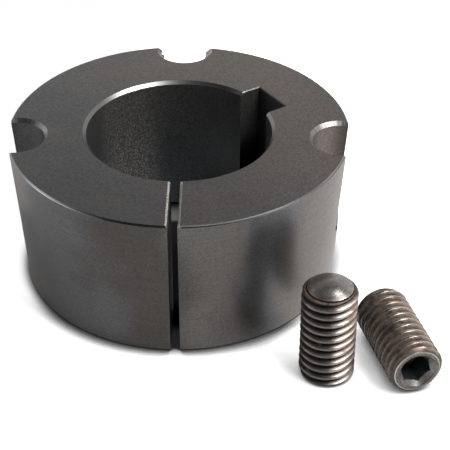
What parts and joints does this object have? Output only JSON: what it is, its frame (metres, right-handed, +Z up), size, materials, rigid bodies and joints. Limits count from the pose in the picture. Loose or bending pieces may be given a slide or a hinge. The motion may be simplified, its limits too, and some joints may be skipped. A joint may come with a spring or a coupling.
{
  "type": "taper bush",
  "caption": "Split taper bush with a keyed bore, half-round screw holes at the large end and its oval-point socket set screws laid beside it.",
  "frame": {"origin": "on the bush's axis, in the plane of the small end that it stands on", "axes": "+Z up along the bore axis to the large end, -Y towards the saw slit, +X to the right of someone facing the slit"},
  "size_m": [0.0863, 0.0803, 0.0318],
  "materials": {
    "bush_iron": "close-grained cast iron, machined all over and blackened, satin",
    "screw_steel": "blackened alloy steel, bright on the worn crests, with brown rust in the thread roots"
  },
  "bodies": {
    "root": {"taper_bush": "bush_iron", "set_screw_standing": "screw_steel", "set_screw_lying": "screw_steel"}
  },
  "joints": []
}
